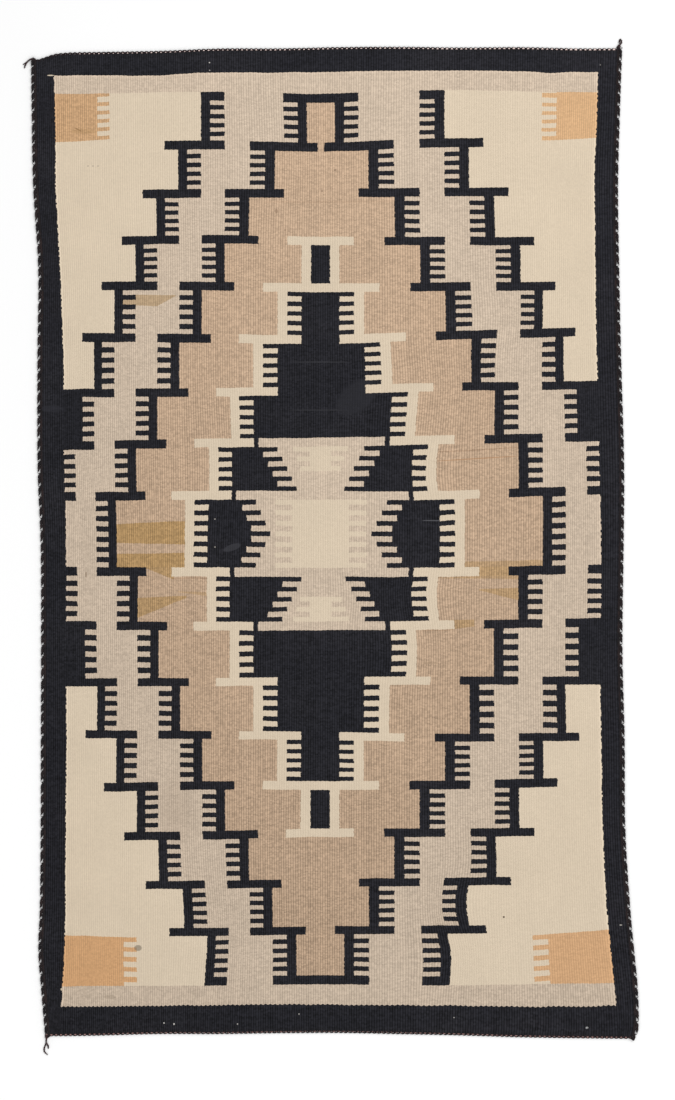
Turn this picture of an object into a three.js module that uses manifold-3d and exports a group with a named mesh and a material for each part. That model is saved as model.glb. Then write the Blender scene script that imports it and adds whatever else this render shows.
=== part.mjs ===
// A handwoven wool rug lying flat, face up. The cloth has a twist of two
// strands along each side, a finer cord along each end, and short ties at
// three corners. Millimetres, +X across, +Y along the length, +Z up.
import * as THREE from 'three';
import { mergeVertices } from 'three/addons/utils/BufferGeometryUtils.js';
import Module from 'manifold-3d';

const wasm = await Module();
wasm.setup();

const PARTED = 0.3; // space left between neighbours
const CLOTH = { thickness: 3.0, sideSteps: 30, endSteps: 18, colour: 0xc9b294 };
const HOLE = { x: 393.1, y: -740.8, across: 5.0, along: 3.4, corners: 6 }; // worn through near a corner
const SIDE_CORD = { strand: 2.6, halfTwist: 18, stepsPerHalfTwist: 3, colour: 0x29282c };
const END_CORD = { width: 3.4, steps: 36, colour: 0x3c2d32 };
const TIE = { strand: 2.2, tip: 0.55, knotRadius: 3.4, knotHeight: 4.4, stepsPerLeg: 3, colour: 0x32292c };

// Outer edges of the finished rug at places along its length, and along its
// width: the weaver's tension leaves each of them a little bowed.
const SIDES = [
  { y: -758, left: -438.2, right: 466.5 },
  { y: -745, left: -439.6, right: 472.6 },
  { y: -685, left: -444.6, right: 472.2 },
  { y: -622, left: -449.2, right: 466.4 },
  { y: -560, left: -446.9, right: 460.6 },
  { y: -435, left: -445.6, right: 452.8 },
  { y: -300, left: -445.3, right: 451.8 },
  { y: -160, left: -445.0, right: 448.4 },
  { y: 0, left: -445.6, right: 450.2 },
  { y: 120, left: -450.2, right: 451.0 },
  { y: 300, left: -450.4, right: 446.1 },
  { y: 425, left: -449.3, right: 443.4 },
  { y: 550, left: -457.0, right: 441.7 },
  { y: 670, left: -459.4, right: 444.7 },
  { y: 765, left: -460.6, right: 448.0 },
];
const ENDS = [
  { x: -461, top: 745.0, bottom: -753.6 },
  { x: -446, top: 748.0, bottom: -753.6 },
  { x: -419, top: 756.2, bottom: -754.0 },
  { x: -355, top: 758.5, bottom: -753.0 },
  { x: -262, top: 760.2, bottom: -750.7 },
  { x: -170, top: 763.8, bottom: -750.7 },
  { x: -78, top: 764.0, bottom: -749.4 },
  { x: 14, top: 766.0, bottom: -749.0 },
  { x: 106, top: 766.5, bottom: -750.8 },
  { x: 199, top: 765.4, bottom: -752.8 },
  { x: 291, top: 766.0, bottom: -755.7 },
  { x: 383, top: 764.0, bottom: -757.2 },
  { x: 473, top: 764.8, bottom: -758.2 },
];

// Yarn ends of the ties, each leg in millimetres from its own knot.
const TIES = [
  {
    name: 'tie_top_left', side: 'left', end: 'top', knot: { x: 3.4, y: 1.6 },
    legs: [
      [{ x: 0, y: 0 }, { x: -6.5, y: -1.2 }, { x: -11, y: -5 }, { x: -16, y: -7.5 }],
      [{ x: -9.5, y: -3.8 }, { x: -12.2, y: -8.5 }, { x: -13.8, y: -13.5 }],
    ],
  },
  {
    name: 'tie_top_right', side: 'right', end: 'top', knot: { x: -5.4, y: 1.6 },
    legs: [[{ x: 0, y: 0 }, { x: 2.2, y: 3.4 }, { x: 3.2, y: 5.2 }]],
    loop: { x: 4.4, y: 9.2, across: 2.4, along: 4.4, steps: 14 },
  },
  {
    name: 'tie_bottom_left', side: 'left', end: 'bottom', knot: { x: 2.4, y: -0.4 },
    legs: [
      [{ x: 0, y: 0 }, { x: -0.8, y: -6.5 }, { x: -1.2, y: -11.5 }, { x: -3.8, y: -18 }, { x: -3.2, y: -24 }, { x: 1.5, y: -28.5 }],
      [{ x: -1, y: -9.5 }, { x: 2, y: -14.5 }, { x: 2.3, y: -19.5 }],
    ],
  },
];

const sideCordWidth = 2 * SIDE_CORD.strand;
const cordRoom = { side: sideCordWidth + PARTED, end: END_CORD.width + PARTED };

// The value of one column at a place between rows, smooth through every row.
function smoothColumn(rows, axis, column, at) {
  const last = rows.length - 2;
  const i = Math.max(0, Math.min(last, rows.findIndex((row) => row[axis] > at) - 1));
  const slope = (k) => {
    const before = rows[Math.max(0, k - 1)];
    const after = rows[Math.min(rows.length - 1, k + 1)];
    return (after[column] - before[column]) / (after[axis] - before[axis]);
  };
  const span = rows[i + 1][axis] - rows[i][axis];
  const t = (at - rows[i][axis]) / span;
  return (
    (1 + 2 * t) * (1 - t) ** 2 * rows[i][column] + t ** 2 * (3 - 2 * t) * rows[i + 1][column]
    + t * (1 - t) ** 2 * span * slope(i) + t ** 2 * (t - 1) * span * slope(i + 1)
  );
}

// Distance inwards from an outer edge, as a signed shift of x or y.
const inward = { left: 1, right: -1, top: -1, bottom: 1 };

function sideX(side, y, inset) {
  return smoothColumn(SIDES, 'y', side, y) + inward[side] * inset;
}

function endY(end, x, inset) {
  return smoothColumn(ENDS, 'x', end, x) + inward[end] * inset;
}

// Where a side and an end meet, each moved inwards by its inset.
function cornerOf(side, end, sideInset, endInset) {
  let x = sideX(side, 0, sideInset);
  let y = endY(end, x, endInset);
  for (let pass = 0; pass < 6; pass += 1) {
    x = sideX(side, y, sideInset);
    y = endY(end, x, endInset);
  }
  return { x, y };
}

// A closed body through rings of points, each ring turning left round the way ahead.
function loft(rings) {
  const sides = rings[0].length;
  const at = (ring, i) => ring * sides + (i % sides);
  const index = [];
  for (let ring = 0; ring < rings.length - 1; ring += 1) {
    for (let i = 0; i < sides; i += 1) {
      index.push(at(ring, i), at(ring, i + 1), at(ring + 1, i + 1));
      index.push(at(ring, i), at(ring + 1, i + 1), at(ring + 1, i));
    }
  }
  const end = rings.length - 1;
  for (let i = 1; i < sides - 1; i += 1) {
    index.push(at(0, 0), at(0, i + 1), at(0, i));
    index.push(at(end, 0), at(end, i), at(end, i + 1));
  }
  const geometry = new THREE.BufferGeometry();
  geometry.setFromPoints(rings.flat());
  geometry.setIndex(index);
  return geometry;
}

// Rings of one section along a path; section(step) gives the ring's points as
// { across, up }, level and square to the path.
function ringsAlong(path, section) {
  return path.map((point, step) => {
    const ahead = path[Math.min(path.length - 1, step + 1)].clone().sub(path[Math.max(0, step - 1)]).setZ(0).normalize();
    const across = new THREE.Vector3(-ahead.y, ahead.x, 0);
    return section(step).map((corner) => new THREE.Vector3(
      point.x + across.x * corner.across,
      point.y + across.y * corner.across,
      point.z + corner.up,
    ));
  });
}

function makeMesh(name, geometry, colour) {
  const mesh = new THREE.Mesh(geometry, new THREE.MeshStandardMaterial({ color: colour, roughness: 0.95, metalness: 0 }));
  mesh.name = name;
  return mesh;
}

function cloth() {
  const corner = (side, end) => cornerOf(side, end, cordRoom.side, cordRoom.end);
  const points = [];
  const addSide = (side, from, to) => {
    for (let i = 0; i < CLOTH.sideSteps; i += 1) {
      const y = THREE.MathUtils.lerp(from.y, to.y, i / CLOTH.sideSteps);
      points.push(new THREE.Vector2(sideX(side, y, cordRoom.side), y));
    }
  };
  const addEnd = (end, from, to) => {
    for (let i = 0; i < CLOTH.endSteps; i += 1) {
      const x = THREE.MathUtils.lerp(from.x, to.x, i / CLOTH.endSteps);
      points.push(new THREE.Vector2(x, endY(end, x, cordRoom.end)));
    }
  };
  addEnd('bottom', corner('left', 'bottom'), corner('right', 'bottom'));
  addSide('right', corner('right', 'bottom'), corner('right', 'top'));
  addEnd('top', corner('right', 'top'), corner('left', 'top'));
  addSide('left', corner('left', 'top'), corner('left', 'bottom'));
  const outline = new THREE.Shape(points);
  const hole = new THREE.Path();
  for (let i = 0; i < HOLE.corners; i += 1) {
    const angle = -2 * Math.PI * i / HOLE.corners;
    const x = HOLE.x + Math.cos(angle) * HOLE.across / 2;
    const y = HOLE.y + Math.sin(angle) * HOLE.along / 2;
    if (i === 0) hole.moveTo(x, y);
    else hole.lineTo(x, y);
  }
  hole.closePath();
  outline.holes.push(hole);
  const geometry = new THREE.ExtrudeGeometry(outline, { depth: CLOTH.thickness, bevelEnabled: false });
  return makeMesh('rug_cloth', geometry, CLOTH.colour);
}

// Where a cord along the given axis ends at a corner: at the edge that it meets,
// or just short of the knot where one is tied there.
function cordEnd(side, end, axis, inset) {
  const tied = TIES.find((one) => one.side === side && one.end === end);
  if (!tied) return cornerOf(side, end, inset.side, inset.end)[axis];
  const backwards = inward[axis === 'y' ? end : side];
  return knotCentre(tied)[axis] + backwards * (TIE.knotRadius + PARTED);
}

function knotCentre({ side, end, knot: place }) {
  const corner = cornerOf(side, end, 0, 0);
  return { x: corner.x + place.x, y: corner.y + place.y };
}

// Two strands side by side, given half a turn over each 18 mm: the six points
// of the section lie round both strands and turn with them.
function sideCord(side) {
  const inset = { side: sideCordWidth / 2, end: 0 };
  const top = cordEnd(side, 'top', 'y', inset);
  const bottom = cordEnd(side, 'bottom', 'y', inset);
  const steps = Math.round((top - bottom) / SIDE_CORD.halfTwist) * SIDE_CORD.stepsPerHalfTwist;
  const path = [];
  for (let step = 0; step <= steps; step += 1) {
    const y = THREE.MathUtils.lerp(bottom, top, step / steps);
    path.push(new THREE.Vector3(sideX(side, y, sideCordWidth / 2), y, SIDE_CORD.strand));
  }
  const half = SIDE_CORD.strand / 2;
  const flat = [
    { x: 2 * half, y: 0 }, { x: half, y: half }, { x: -half, y: half },
    { x: -2 * half, y: 0 }, { x: -half, y: -half }, { x: half, y: -half },
  ];
  const turnPerStep = Math.PI / SIDE_CORD.stepsPerHalfTwist;
  const section = (step) => flat.map((corner) => {
    const turned = new THREE.Vector2(corner.x, corner.y).rotateAround(new THREE.Vector2(), (step + 0.5) * turnPerStep);
    return { across: turned.x, up: turned.y };
  });
  return makeMesh(`cord_${side}`, loft(ringsAlong(path, section)), SIDE_CORD.colour);
}

// The finer cord along an end, between the two side cords, resting level.
function endCord(end) {
  const inset = { side: sideCordWidth + PARTED, end: END_CORD.width / 2 };
  const from = cordEnd('left', end, 'x', inset);
  const to = cordEnd('right', end, 'x', inset);
  const path = [];
  for (let step = 0; step <= END_CORD.steps; step += 1) {
    const x = THREE.MathUtils.lerp(from, to, step / END_CORD.steps);
    path.push(new THREE.Vector3(x, endY(end, x, END_CORD.width / 2), END_CORD.width / 2));
  }
  const half = END_CORD.width / 2;
  const corners = 6;
  const section = () => Array.from({ length: corners }, (_, i) => {
    const angle = Math.PI * (i + 0.5) / (corners / 2);
    return { across: Math.cos(angle) * half, up: Math.sin(angle) * half };
  });
  return makeMesh(`cord_${end}`, loft(ringsAlong(path, section)), END_CORD.colour);
}

function toManifold(geometry) {
  const bare = new THREE.BufferGeometry();
  bare.setAttribute('position', geometry.getAttribute('position'));
  bare.setIndex(geometry.getIndex());
  const merged = mergeVertices(bare, 1e-4);
  return new wasm.Manifold(new wasm.Mesh({
    numProp: 3,
    vertProperties: new Float32Array(merged.getAttribute('position').array),
    triVerts: new Uint32Array(merged.getIndex().array),
  }));
}

function fromManifold(solid) {
  const mesh = solid.getMesh();
  const geometry = new THREE.BufferGeometry();
  geometry.setAttribute('position', new THREE.BufferAttribute(new Float32Array(mesh.vertProperties), 3));
  geometry.setIndex(new THREE.BufferAttribute(new Uint32Array(mesh.triVerts), 1));
  return geometry;
}

// A four-sided yarn end lying level on the floor, narrowing to its tip.
function yarnEnd(path, tip) {
  const section = (step) => {
    const share = THREE.MathUtils.lerp(1, tip, step / (path.length - 1));
    const half = TIE.strand * share / 2;
    return [
      { across: half, up: 0 }, { across: half, up: 2 * half },
      { across: -half, up: 2 * half }, { across: -half, up: 0 },
    ];
  };
  return toManifold(loft(ringsAlong(path, section)));
}

function knot() {
  const { knotRadius: radius, knotHeight: height } = TIE;
  const profile = [
    { r: 0, z: 0 }, { r: 0.75 * radius, z: 0 }, { r: radius, z: 0.35 * height },
    { r: 0.8 * radius, z: 0.8 * height }, { r: 0, z: height },
  ].map((ring) => new THREE.Vector2(ring.r, ring.z));
  const geometry = new THREE.LatheGeometry(profile, 10);
  geometry.rotateX(Math.PI / 2);
  return toManifold(geometry);
}

function tie(one) {
  const { name, legs, loop } = one;
  let solid = knot();
  for (const leg of legs) {
    const curve = new THREE.CatmullRomCurve3(leg.map((point) => new THREE.Vector3(point.x, point.y, 0)));
    solid = solid.add(yarnEnd(curve.getPoints((leg.length - 1) * TIE.stepsPerLeg), loop ? 1 : TIE.tip));
  }
  if (loop) {
    const ring = [];
    for (let step = 0; step <= loop.steps; step += 1) {
      const angle = -Math.PI / 2 + 2 * Math.PI * step / loop.steps;
      ring.push(new THREE.Vector3(loop.x + Math.cos(angle) * loop.across, loop.y + Math.sin(angle) * loop.along, 0));
    }
    solid = solid.add(yarnEnd(ring, 1));
  }
  const mesh = makeMesh(name, fromManifold(solid), TIE.colour);
  const centre = knotCentre(one);
  mesh.position.set(centre.x, centre.y, 0);
  return mesh;
}

const group = new THREE.Group();
group.add(cloth());
group.add(sideCord('left'), sideCord('right'));
group.add(endCord('top'), endCord('bottom'));
group.add(...TIES.map(tie));

// The origin lies on the floor under the middle of the whole rug.
const box = new THREE.Box3().setFromObject(group);
group.position.set(-(box.min.x + box.max.x) / 2, -(box.min.y + box.max.y) / 2, 0);

export default group;
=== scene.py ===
import math

import bpy
import numpy as np
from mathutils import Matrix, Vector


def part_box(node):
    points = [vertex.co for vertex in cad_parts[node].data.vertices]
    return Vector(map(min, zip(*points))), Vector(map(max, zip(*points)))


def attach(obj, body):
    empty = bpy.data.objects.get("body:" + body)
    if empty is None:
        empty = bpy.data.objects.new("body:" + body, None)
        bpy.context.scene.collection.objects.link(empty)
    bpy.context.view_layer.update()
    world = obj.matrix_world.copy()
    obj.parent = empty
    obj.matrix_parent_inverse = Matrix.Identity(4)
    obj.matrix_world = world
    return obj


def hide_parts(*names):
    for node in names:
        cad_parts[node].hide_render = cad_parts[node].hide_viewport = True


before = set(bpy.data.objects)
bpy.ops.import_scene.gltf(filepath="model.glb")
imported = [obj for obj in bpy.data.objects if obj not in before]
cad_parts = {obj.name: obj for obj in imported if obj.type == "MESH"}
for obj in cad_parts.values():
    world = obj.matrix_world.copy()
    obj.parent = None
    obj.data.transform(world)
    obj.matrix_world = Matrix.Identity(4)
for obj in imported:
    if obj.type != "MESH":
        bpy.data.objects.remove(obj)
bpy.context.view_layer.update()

millimetre = 0.001


# The rows of a table, each a dict under the same names.
def rowsOf(names, *rows):
    return [dict(zip(names.split(), row)) for row in rows]


# How the weaver set the cloth out, in warps each way from the middle line and in tiers
# of the stepped pattern each way from the middle row.
weave = {
    "warpsLeft": 126,
    "warpsRight": 124,
    "borderWarp": 116,  # the dark side border begins here
    "borderTier": 9.0,  # and the dark end border here
    "endTier": 9.4,
    "barShare": 0.165,  # of a tier, taken by the cross bar on its middle side
    "weftsPerTier": 36,
}

# Outer edges of the finished rug in millimetres, a little bowed by uneven tension.
sides = rowsOf(
    "y left right",
    (-758, -438.2, 466.5),
    (-745, -439.6, 472.6),
    (-685, -444.6, 472.2),
    (-622, -449.2, 466.4),
    (-560, -446.9, 460.6),
    (-435, -445.6, 452.8),
    (-300, -445.3, 451.8),
    (-160, -445.0, 448.4),
    (0, -445.6, 450.2),
    (120, -450.2, 451.0),
    (300, -450.4, 446.1),
    (425, -449.3, 443.4),
    (550, -457.0, 441.7),
    (670, -459.4, 444.7),
    (765, -460.6, 448.0),
)
ends = rowsOf(
    "x top bottom",
    (-461, 745.0, -753.6),
    (-446, 748.0, -753.6),
    (-419, 756.2, -754.0),
    (-355, 758.5, -753.0),
    (-262, 760.2, -750.7),
    (-170, 763.8, -750.7),
    (-78, 764.0, -749.4),
    (14, 766.0, -749.0),
    (106, 766.5, -750.8),
    (199, 765.4, -752.8),
    (291, 766.0, -755.7),
    (383, 764.0, -757.2),
    (473, 764.8, -758.2),
)
inward = {"left": 1, "right": -1, "top": -1, "bottom": 1}


# One column between rows, smooth through every row; at is a number or an array.
def smoothColumn(rows, axis, column, at):
    places = np.array([row[axis] for row in rows], float)
    values = np.array([row[column] for row in rows], float)
    order = np.arange(len(rows))
    ahead = np.minimum(order + 1, len(rows) - 1)
    behind = np.maximum(order - 1, 0)
    slopes = (values[ahead] - values[behind]) / (places[ahead] - places[behind])
    i = np.clip(np.searchsorted(places, at, side="right") - 1, 0, len(rows) - 2)
    span = places[i + 1] - places[i]
    t = (at - places[i]) / span
    level = (1 + 2 * t) * (1 - t) ** 2 * values[i] + t**2 * (3 - 2 * t) * values[i + 1]
    return level + t * (1 - t) ** 2 * span * slopes[i] + t**2 * (t - 1) * span * slopes[i + 1]


def sideX(side, y, inset):
    return smoothColumn(sides, "y", side, y) + inward[side] * inset


def endY(end, x, inset):
    return smoothColumn(ends, "x", end, x) + inward[end] * inset


# Where a side and an end meet, each moved inwards by its inset.
def cornerOf(side, end, sideInset, endInset):
    x = sideX(side, 0, sideInset)
    for settling in range(6):
        y = endY(end, x, endInset)
        x = sideX(side, y, sideInset)
    return float(x), float(endY(end, x, endInset))


# A socket that can be used in sums, and a desk that adds nodes to one tree.
def forward(operation):
    return lambda self, other: self.desk.maths(operation, self, other)


def reflected(operation):
    return lambda self, other: self.desk.maths(operation, other, self)


class Wire:
    def __init__(self, desk, node, socket):
        self.desk = desk
        self.node = node
        self.socket = socket

    def out(self, name):
        return Wire(self.desk, self.node, self.node.outputs[name])

    __add__ = forward("ADD")
    __radd__ = reflected("ADD")
    __sub__ = forward("SUBTRACT")
    __rsub__ = reflected("SUBTRACT")
    __mul__ = forward("MULTIPLY")
    __rmul__ = reflected("MULTIPLY")
    __truediv__ = forward("DIVIDE")
    __rtruediv__ = reflected("DIVIDE")
    __mod__ = forward("FLOORED_MODULO")
    __gt__ = forward("GREATER_THAN")
    __lt__ = forward("LESS_THAN")
    __and__ = forward("MULTIPLY")
    __or__ = forward("MAXIMUM")

    def __abs__(self):
        return self.desk.maths("ABSOLUTE", self)

    def __invert__(self):
        return 1 - self


class Desk:
    def __init__(self, tree):
        self.tree = tree

    # Settings go first, then the sockets' values or links, by name or number.
    def add(self, kind, settings, sockets, output=0):
        node = self.tree.nodes.new(kind)
        for name, value in settings.items():
            setattr(node, name, value)
        for name, value in sockets.items():
            if isinstance(value, Wire):
                self.tree.links.new(value.socket, node.inputs[name])
            else:
                node.inputs[name].default_value = value
        return Wire(self, node, node.outputs[output]) if len(node.outputs) else node

    def maths(self, operation, *values):
        return self.add("ShaderNodeMath", {"operation": operation}, dict(enumerate(values)))

    def vector(self, operation, *values):
        return self.add("ShaderNodeVectorMath", {"operation": operation}, dict(enumerate(values)))

    def joined(self, x, y, z=0.0):
        return self.add("ShaderNodeCombineXYZ", {}, {0: x, 1: y, 2: z})

    def blend(self, share, first, second):  # of two numbers
        return first + share * (second - first)

    def scaled(self, arrow, factor):
        return self.add("ShaderNodeVectorMath", {"operation": "SCALE"}, {0: arrow, "Scale": factor})

    def white(self, place):  # a random number for each flat place
        return self.add("ShaderNodeTexWhiteNoise", {"noise_dimensions": "2D"}, {"Vector": place})

    def objectPlace(self):
        return self.add("ShaderNodeTexCoord", {}, {}, "Object")

    def pointPlace(self):
        return self.add("GeometryNodeInputPosition", {}, {})

    def split(self, arrow):
        return self.add("ShaderNodeSeparateXYZ", {}, {0: arrow})

    def moved(self, geometry, offset):
        return self.add("GeometryNodeSetPosition", {}, {0: geometry, "Offset": offset})

    # Geometry joined into one.
    def gathered(self, parts):
        node = self.tree.nodes.new("GeometryNodeJoinGeometry")
        for part in reversed(parts):
            self.tree.links.new(part.socket, node.inputs[0])
        return Wire(self, node, node.outputs[0])


def newMaterial(name):
    material = bpy.data.materials.new(name)
    material.use_nodes = True
    material.node_tree.nodes.clear()
    return material, Desk(material.node_tree)


# A wool colour as it looks in daylight, in the usual 0 to 255 numbers.
def dyed(red, green, blue):
    def linear(level):
        share = level / 255
        return share / 12.92 if share <= 0.04045 else ((share + 0.055) / 1.055) ** 2.4

    return (linear(red), linear(green), linear(blue), 1.0)


# The camera, straight above, and the studio round the rug.
studio = {
    "viewX": 10.6,  # millimetres
    "viewY": -5.8,
    "viewHeight": 4500,
    "viewLength": 1689.6,  # of the floor, from the top of the picture to its foot
    "floor": (0.95, 0.95, 0.95, 1.0),
    "floorSize": 14,
    "skyLight": 0.63,
    "lampSize": 3.2,  # metres
    "lampPlace": (1.9, 1.7, 3.6),
    "lampPower": 80,
    "fillPlace": (-0.5, -2.7, 3.0),
    "fillPower": 40,
}


def addLamp(name, place, power, size):
    light = bpy.data.lights.new(name, "AREA")
    light.shape = "DISK"
    light.size = size
    light.energy = power
    lamp = bpy.data.objects.new(name, light)
    lamp.location = place
    lamp.rotation_euler = (-Vector(place)).to_track_quat("-Z", "Y").to_euler()
    bpy.context.collection.objects.link(lamp)


def makeStudio():
    scene = bpy.context.scene
    scene.view_settings.view_transform = "Standard"
    sensor = 36
    data = bpy.data.cameras.new("viewpoint")
    data.sensor_width = sensor
    data.lens = sensor * studio["viewHeight"] / studio["viewLength"]
    camera = bpy.data.objects.new("viewpoint", data)
    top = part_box("rug_cloth")[1][2]
    camera.location = (
        studio["viewX"] * millimetre,
        studio["viewY"] * millimetre,
        studio["viewHeight"] * millimetre + top,
    )
    scene.collection.objects.link(camera)
    scene.camera = camera

    half = studio["floorSize"] / 2
    mesh = bpy.data.meshes.new("floor")
    floorCorners = [(-half, -half, 0), (half, -half, 0), (half, half, 0), (-half, half, 0)]
    mesh.from_pydata(floorCorners, [], [(0, 1, 2, 3)])
    floor = bpy.data.objects.new("floor", mesh)
    scene.collection.objects.link(floor)
    material, desk = newMaterial("paleFloor")
    shader = desk.add("ShaderNodeBsdfDiffuse", {}, {"Color": studio["floor"]})
    desk.add("ShaderNodeOutputMaterial", {}, {"Surface": shader})
    mesh.materials.append(material)

    scene.world = bpy.data.worlds.new("softSky")
    scene.world.use_nodes = True
    background = scene.world.node_tree.nodes["Background"]
    background.inputs["Color"].default_value = (1, 1, 1, 1)
    background.inputs["Strength"].default_value = studio["skyLight"]
    addLamp("keyLamp", studio["lampPlace"], studio["lampPower"], studio["lampSize"])
    addLamp("fillLamp", studio["fillPlace"], studio["fillPower"], studio["lampSize"])


makeStudio()
print("studio set")


# The cloth: where each warp and each cross bar lies, in millimetres.
warpPlaces = rowsOf(
    "warp x",
    (-126, -439.7),
    (-116, -409.0),
    (-94, -342.6),
    (-74, -278.1),
    (-54, -211.1),
    (-34, -140.8),
    (-14, -66.7),
    (0, -15.7),
    (14, 35.6),
    (34, 113.0),
    (54, 190.8),
    (74, 266.1),
    (94, 340.3),
    (116, 415.3),
    (124, 444.7),
)
# Places where the wefts have drawn the warps a little to one side.
pulls = rowsOf(
    "x y reachX reachY by",
    (291, 439, 77, 123, 6.1),
    (-93, 592, 61, 92, 3.8),
    (73, 638, 38, 92, -1.5),
    (174, -634, 43, 46, 7.4),
    (199, -552, 34, 40, -10.0),
    (-201, -592, 69, 88, 8.6),
    (145, 247, 108, 49, 4.6),
    (-179, 116, 52, 92, 4.9),
    (154, 116, 40, 43, -7.7),
    (-431, 561, 77, 169, -4.9),
    (414, 454, 61, 230, -4.0),
    (-370, -237, 92, 61, 2.3),
    (240, -483, 46, 46, 2.3),
    (245, 345, 52, 46, 5.0),
    (118, 330, 60, 300, 2.3),
    (33, -79, 30, 35, 4.0),
    (148, -76, 52, 32, -6.0),
    (106, -165, 58, 46, 4.8),
    (-62, -460, 36, 150, -2.2),
    (-308, 0, 60, 130, 1.8),
)
# Middle of each tier's cross bar at five places across, and how deep the bar is.
bars = rowsOf(
    "tier farLeft left middle right farRight deep",
    (9, 687.3, 690.2, 687.0, 692.6, 689.8, 14.0),
    (8, 612.5, 615.3, 612.0, 618.3, 620.0, 14.0),
    (7, 539.0, 541.0, 541.0, 543.0, 543.5, 13.5),
    (6, 467.5, 470.5, 468.0, 468.0, 467.5, 13.0),
    (5, 399.0, 398.5, 396.0, 397.5, 398.5, 13.5),
    (4, 319.5, 318.2, 316.5, 322.2, 327.0, 13.5),
    (3, 234.5, 235.5, 238.5, 243.5, 245.5, 13.0),
    (2, 154.5, 157.5, 158.8, 162.0, 165.5, 13.5),
    (1, 75.9, 77.2, 77.2, 77.0, 83.2, 13.5),
    (-1, -40.0, -40.6, -41.3, -40.8, -37.5, 13.8),
    (-2, -123.0, -123.8, -123.4, -122.1, -119.0, 13.5),
    (-3, -210.0, -209.5, -208.0, -207.5, -207.5, 12.5),
    (-4, -290.0, -291.0, -292.5, -295.0, -294.0, 12.5),
    (-5, -371.5, -368.5, -368.5, -368.0, -364.0, 13.5),
    (-6, -447.0, -445.0, -441.3, -441.0, -440.0, 13.0),
    (-7, -522.5, -520.5, -518.5, -516.5, -514.5, 12.5),
    (-8, -594.5, -593.5, -591.0, -590.0, -589.0, 12.5),
    (-9, -669.5, -669.0, -667.0, -668.8, -666.0, 14.0),
)
# Inner edges of the dark borders: along the ends, then along the sides.
borderEnds = rowsOf(
    "warp top bottom",
    (-118, 722.1, -708.4),
    (-98, 722.3, -707.7),
    (-69, 722.1, -706.6),
    (-51, 726.0, -706.1),
    (-17, 726.7, -704.6),
    (16, 728.3, -705.6),
    (48, 729.5, -706.6),
    (81, 728.4, -708.4),
    (93, 726.0, -707.9),
    (104, 727.0, -708.1),
    (114, 727.4, -706.5),
)
borderSides = rowsOf(
    "y left right",
    (-745, -414.7, 441.0),
    (-698, -413.4, 438.2),
    (-629, -409.0, 431.0),
    (-545, -407.5, 423.4),
    (-422, -406.9, 417.9),
    (-299, -405.7, 415.8),
    (-237, -406.2, 414.5),
    (8, -406.5, 415.4),
    (131, -409.5, 412.6),
    (254, -410.0, 409.9),
    (377, -413.7, 407.0),
    (500, -419.8, 406.2),
    (554, -422.7, 405.0),
    (608, -422.8, 406.6),
    (677, -423.8, 409.4),
    (750, -426.5, 411.2),
)
columnWarps = {"farLeft": -94, "left": -45, "middle": 0, "right": 45, "farRight": 94}
cloth = {
    "columnsPerWarp": 2,
    "rowsPerComb": 3,
    "rowsInMiddleTier": 6,
    "rowsInBorder": 3,
    "ribDepth": 0.42,  # millimetres
    "unevenness": 0.12,
    "sideInset": 5.5,  # room for the side cords
    "endInset": 3.7,
}
# Worn through near a corner: three half warps wide, in millimetres.
hole = {"x": 393.1, "y": -740.8, "across": 5.0, "along": 3.4}


# Height of a bar or border row over each warp.
def acrossRow(row, warps):
    places = [{"warp": warp, "y": row[name]} for name, warp in columnWarps.items()]
    clipped = np.clip(warps, places[0]["warp"] - 20, places[-1]["warp"] + 20)
    return smoothColumn(places, "warp", "y", clipped)


# Tier numbers with their heights: a line for each edge of each bar, from end to end.
def chartLines(warps, plainX):
    lines = []
    share = weave["barShare"]
    for row in bars:
        way = 1 if row["tier"] > 0 else -1
        height = acrossRow(row, warps)
        near = row["tier"] - way * 0.5
        lines.append((near, height - way * row["deep"] / 2))
        lines.append((near + way * share, height + way * row["deep"] / 2))
    clipped = np.clip(warps, borderEnds[0]["warp"], borderEnds[-1]["warp"])
    for end, way in (("top", 1), ("bottom", -1)):
        lines.append((way * weave["borderTier"], smoothColumn(borderEnds, "warp", end, clipped)))
    lines.append((weave["endTier"], endY("top", plainX, cloth["endInset"])))
    lines.append((-weave["endTier"], endY("bottom", plainX, cloth["endInset"])))
    lines.sort(key=lambda line: line[0])
    return np.array([line[0] for line in lines]), np.array([line[1] for line in lines])


# Where a warp lies at a height, with its side's bow and the small pulls.
def plainWarpX(warps, y):
    left = sideX("left", y, cloth["sideInset"]) - warpPlaces[0]["x"]
    right = sideX("right", y, cloth["sideInset"]) - warpPlaces[-1]["x"]
    share = np.where(warps < 0, warps / weave["warpsLeft"], warps / weave["warpsRight"])
    x = smoothColumn(warpPlaces, "warp", "x", warps) + np.where(warps < 0, left, right) * share**2
    still = 1 - share**8  # the edge itself isn't drawn aside
    for pull in pulls:
        away = ((x - pull["x"]) / pull["reachX"]) ** 2 + ((y - pull["y"]) / pull["reachY"]) ** 2
        x = x + still * pull["by"] * np.exp(-away)
    return x


# The same, with the borders' inner edges brought to their own lines.
def warpX(warps, y):
    x = plainWarpX(warps, y)
    for side, way in (("left", -1), ("right", 1)):
        whole = weave["warps" + side.title()]
        inner = np.clip(way * warps, 0, None) / weave["borderWarp"]
        beyond = np.clip((whole - way * warps) / (whole - weave["borderWarp"]), 0, 1)
        wrong = smoothColumn(borderSides, "y", side, y)
        wrong = wrong - plainWarpX(way * weave["borderWarp"] + 0 * warps, y)
        x = x + wrong * np.minimum(inner, 1) ** 8 * beyond
    return x


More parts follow.
